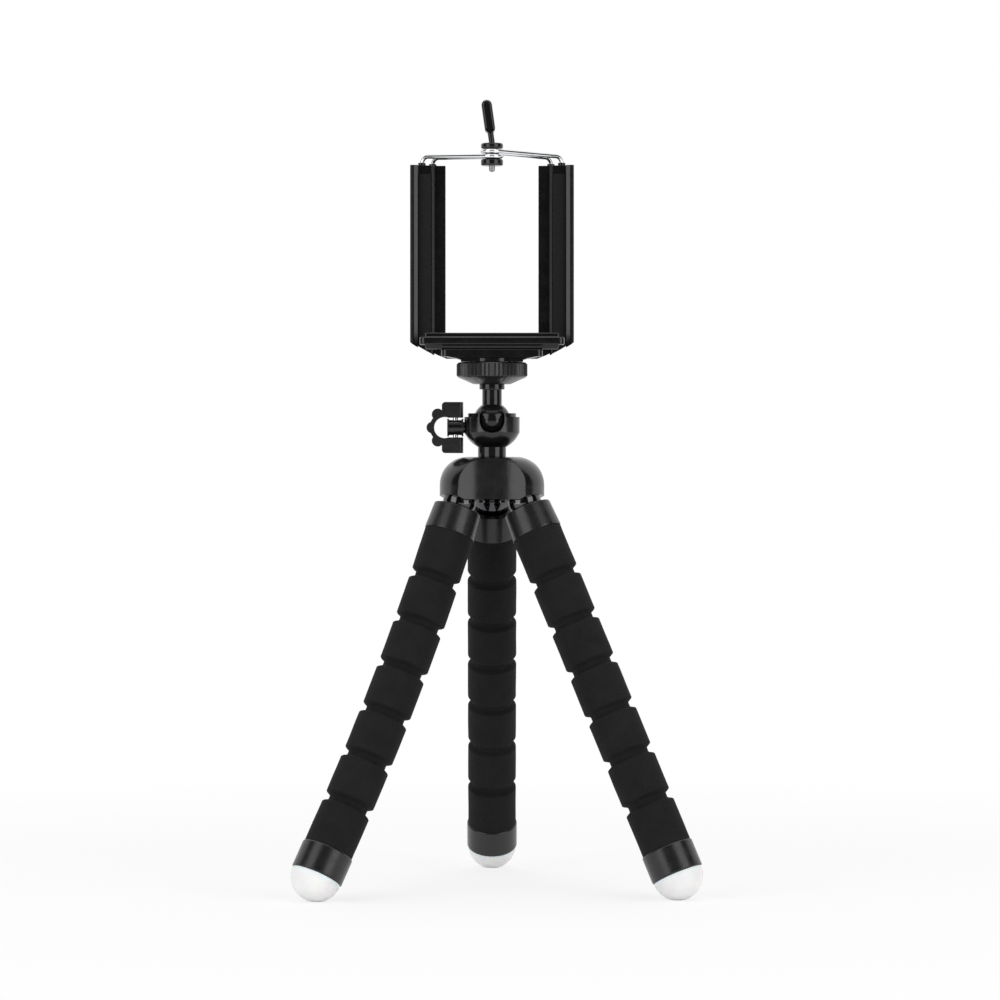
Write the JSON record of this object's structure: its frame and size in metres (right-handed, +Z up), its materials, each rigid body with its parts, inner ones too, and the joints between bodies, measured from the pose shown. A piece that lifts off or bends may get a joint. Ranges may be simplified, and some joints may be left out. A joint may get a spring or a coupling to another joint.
{
  "type": "flexible leg tripod",
  "caption": "Small tripod with bendable foam-covered legs, rubber feet, a ball head with a folding clamp handle and a sprung two-jaw phone clip.",
  "frame": {"origin": "on the ground under the head's vertical axis, in the plane of the feet", "axes": "+Z up along the head's axis; the front of the clip and the clamp's notch face -Y; +X to the viewer's right"},
  "size_m": [0.1411, 0.133, 0.2773],
  "materials": {
    "black_plastic": "semi-gloss",
    "foam": "matte",
    "chrome": "polished",
    "steel": "satin",
    "dark_metal": "semi-gloss",
    "brass": "satin",
    "foot_rubber": "satin",
    "pad_rubber": "matte"
  },
  "bodies": {
    "hub": {"hub": "black_plastic", "head_screw": "steel", "head_socket": "black_plastic", "back_root_ball": "chrome", "left_root_ball": "chrome", "right_root_ball": "chrome"},
    "back_leg_1": {"back_leg_collar": "black_plastic", "back_foam_1": "foam", "back_core_wire": "steel"},
    "back_leg_2": {"back_foam_2": "foam"},
    "back_leg_3": {"back_foam_3": "foam"},
    "back_leg_4": {"back_foam_4": "foam"},
    "back_leg_5": {"back_foam_5": "foam"},
    "back_leg_6": {"back_foam_6": "foam"},
    "back_leg_7": {"back_foam_7": "foam", "back_foot_collar": "black_plastic", "back_foot_tip": "foot_rubber"},
    "left_leg_1": {"left_leg_collar": "black_plastic", "left_foam_1": "foam", "left_core_wire": "steel"},
    "left_leg_2": {"left_foam_2": "foam"},
    "left_leg_3": {"left_foam_3": "foam"},
    "left_leg_4": {"left_foam_4": "foam"},
    "left_leg_5": {"left_foam_5": "foam"},
    "left_leg_6": {"left_foam_6": "foam"},
    "left_leg_7": {"left_foam_7": "foam", "left_foot_collar": "black_plastic", "left_foot_tip": "foot_rubber"},
    "right_leg_1": {"right_leg_collar": "black_plastic", "right_foam_1": "foam", "right_core_wire": "steel"},
    "right_leg_2": {"right_foam_2": "foam"},
    "right_leg_3": {"right_foam_3": "foam"},
    "right_leg_4": {"right_foam_4": "foam"},
    "right_leg_5": {"right_foam_5": "foam"},
    "right_leg_6": {"right_foam_6": "foam"},
    "right_leg_7": {"right_foam_7": "foam", "right_foot_collar": "black_plastic", "right_foot_tip": "foot_rubber"},
    "ball": {"ball_stem": "dark_metal", "platform": "black_plastic"},
    "clamp_screw": {"clamp_screw": "black_plastic", "clamp_pin": "chrome"},
    "clamp_handle": {"clamp_handle": "black_plastic"},
    "clip": {"clip_base": "black_plastic", "clip_cover": "black_plastic", "clip_sleeve": "brass", "clip_spring": "steel"},
    "left_arm": {"left_arm": "black_plastic", "left_jaw": "black_plastic", "left_pad": "pad_rubber", "left_wire": "chrome", "lock_nut": "black_plastic"},
    "right_arm": {"right_arm": "black_plastic", "right_jaw": "black_plastic", "right_pad": "pad_rubber", "right_wire": "chrome"},
    "lock": {"lock_screw": "steel", "lock_washer": "black_plastic", "lock_paddle": "black_plastic"}
  },
  "joints": [
    {"name": "back_spread", "type": "hinge", "parent": "hub", "child": "back_leg_1", "pos_m": [0, 0.013, 0.13587], "axis": [1, 0, 0], "range_deg": [-25, 20], "deforming": ["back_core_wire"]},
    {"name": "back_bend_1", "type": "hinge", "parent": "back_leg_1", "child": "back_leg_2", "pos_m": [0, 0.02548, 0.10958], "axis": [0, 0.9033, 0.4289], "range_deg": [-20, 20], "deforming": ["back_core_wire"]},
    {"name": "back_bend_2", "type": "hinge", "parent": "back_leg_2", "child": "back_leg_3", "pos_m": [0, 0.03277, 0.09423], "axis": [1, 0, 0], "range_deg": [-20, 20], "deforming": ["back_core_wire"]},
    {"name": "back_bend_3", "type": "hinge", "parent": "back_leg_3", "child": "back_leg_4", "pos_m": [0, 0.04007, 0.07887], "axis": [0, 0.9033, 0.4289], "range_deg": [-20, 20], "deforming": ["back_core_wire"]},
    {"name": "back_bend_4", "type": "hinge", "parent": "back_leg_4", "child": "back_leg_5", "pos_m": [0, 0.04736, 0.06351], "axis": [1, 0, 0], "range_deg": [-20, 20], "deforming": ["back_core_wire"]},
    {"name": "back_bend_5", "type": "hinge", "parent": "back_leg_5", "child": "back_leg_6", "pos_m": [0, 0.05465, 0.04816], "axis": [0, 0.9033, 0.4289], "range_deg": [-20, 20], "deforming": ["back_core_wire"]},
    {"name": "back_bend_6", "type": "hinge", "parent": "back_leg_6", "child": "back_leg_7", "pos_m": [0, 0.06194, 0.0328], "axis": [1, 0, 0], "range_deg": [-20, 20], "deforming": ["back_core_wire"]},
    {"name": "left_spread", "type": "hinge", "parent": "hub", "child": "left_leg_1", "pos_m": [-0.01126, -0.0065, 0.13587], "axis": [-0.5878, 0.809, 0], "range_deg": [-25, 20], "deforming": ["left_core_wire"]},
    {"name": "left_bend_1", "type": "hinge", "parent": "left_leg_1", "child": "left_leg_2", "pos_m": [-0.02009, -0.01292, 0.1089], "axis": [-0.7499, -0.5448, 0.3753], "range_deg": [-20, 20], "deforming": ["left_core_wire"]},
    {"name": "left_bend_2", "type": "hinge", "parent": "left_leg_2", "child": "left_leg_3", "pos_m": [-0.0255, -0.01685, 0.09327], "axis": [-0.5878, 0.809, 0], "range_deg": [-20, 20], "deforming": ["left_core_wire"]},
    {"name": "left_bend_3", "type": "hinge", "parent": "left_leg_3", "child": "left_leg_4", "pos_m": [-0.03115, -0.02095, 0.07777], "axis": [-0.7377, -0.5359, 0.4106], "range_deg": [-20, 20], "deforming": ["left_core_wire"]},
    {"name": "left_bend_4", "type": "hinge", "parent": "left_leg_4", "child": "left_leg_5", "pos_m": [-0.03704, -0.02523, 0.0624], "axis": [-0.5878, 0.809, 0], "range_deg": [-20, 20], "deforming": ["left_core_wire"]},
    {"name": "left_bend_5", "type": "hinge", "parent": "left_leg_5", "child": "left_leg_6", "pos_m": [-0.04316, -0.02968, 0.04718], "axis": [-0.7244, -0.5263, 0.4453], "range_deg": [-20, 20], "deforming": ["left_core_wire"]},
    {"name": "left_bend_6", "type": "hinge", "parent": "left_leg_6", "child": "left_leg_7", "pos_m": [-0.04952, -0.0343, 0.03211], "axis": [-0.5878, 0.809, 0], "range_deg": [-20, 20], "deforming": ["left_core_wire"]},
    {"name": "right_spread", "type": "hinge", "parent": "hub", "child": "right_leg_1", "pos_m": [0.01126, -0.0065, 0.13587], "axis": [-0.5, -0.866, 0], "range_deg": [-25, 20], "deforming": ["right_core_wire"]},
    {"name": "right_bend_1", "type": "hinge", "parent": "right_leg_1", "child": "right_leg_2", "pos_m": [0.02207, -0.01274, 0.10958], "axis": [0.7823, -0.4517, 0.4289], "range_deg": [-20, 20], "deforming": ["right_core_wire"]},
    {"name": "right_bend_2", "type": "hinge", "parent": "right_leg_2", "child": "right_leg_3", "pos_m": [0.02838, -0.01639, 0.09423], "axis": [-0.5, -0.866, 0], "range_deg": [-20, 20], "deforming": ["right_core_wire"]},
    {"name": "right_bend_3", "type": "hinge", "parent": "right_leg_3", "child": "right_leg_4", "pos_m": [0.0347, -0.02003, 0.07887], "axis": [0.7823, -0.4517, 0.4289], "range_deg": [-20, 20], "deforming": ["right_core_wire"]},
    {"name": "right_bend_4", "type": "hinge", "parent": "right_leg_4", "child": "right_leg_5", "pos_m": [0.04101, -0.02368, 0.06351], "axis": [-0.5, -0.866, 0], "range_deg": [-20, 20], "deforming": ["right_core_wire"]},
    {"name": "right_bend_5", "type": "hinge", "parent": "right_leg_5", "child": "right_leg_6", "pos_m": [0.04733, -0.02732, 0.04816], "axis": [0.7823, -0.4517, 0.4289], "range_deg": [-20, 20], "deforming": ["right_core_wire"]},
    {"name": "right_bend_6", "type": "hinge", "parent": "right_leg_6", "child": "right_leg_7", "pos_m": [0.05364, -0.03097, 0.0328], "axis": [-0.5, -0.866, 0], "range_deg": [-20, 20], "deforming": ["right_core_wire"]},
    {"name": "ball_tilt", "type": "hinge", "parent": "hub", "child": "ball", "pos_m": [0, 0, 0.16467], "axis": [1, 0, 0], "range_deg": [-30, 90]},
    {"name": "clip_turn", "type": "hinge", "parent": "ball", "child": "clip", "pos_m": [0, 0, 0.18527], "axis": [0, 0, 1], "continuous": true},
    {"name": "clamp_turn", "type": "hinge", "parent": "hub", "child": "clamp_screw", "pos_m": [-0.0129, 0, 0.16217], "axis": [-1, 0, 0], "range_deg": [0, 360]},
    {"name": "handle_fold", "type": "hinge", "parent": "clamp_screw", "child": "clamp_handle", "pos_m": [-0.0129, 0, 0.16217], "axis": [0, 0, 1], "range_deg": [-90, 90]},
    {"name": "left_arm_swing", "type": "hinge", "parent": "clip", "child": "left_arm", "pos_m": [0, 0, 0.18667], "axis": [0, 0, 1], "range_deg": [0, 30], "stiffness_Nm_per_rad": 0.1, "springref_deg": -57.3, "deforming": ["clip_spring"]},
    {"name": "right_arm_swing", "type": "hinge", "parent": "clip", "child": "right_arm", "pos_m": [0, 0, 0.18667], "axis": [0, 0, -1], "range_deg": [0, 30], "stiffness_Nm_per_rad": 0.1, "springref_deg": -57.3, "deforming": ["clip_spring"]},
    {"name": "lock_turn", "type": "hinge", "parent": "left_arm", "child": "lock", "pos_m": [0, 0, 0.26027], "axis": [0, 0, 1], "range_deg": [0, 360]}
  ]
}
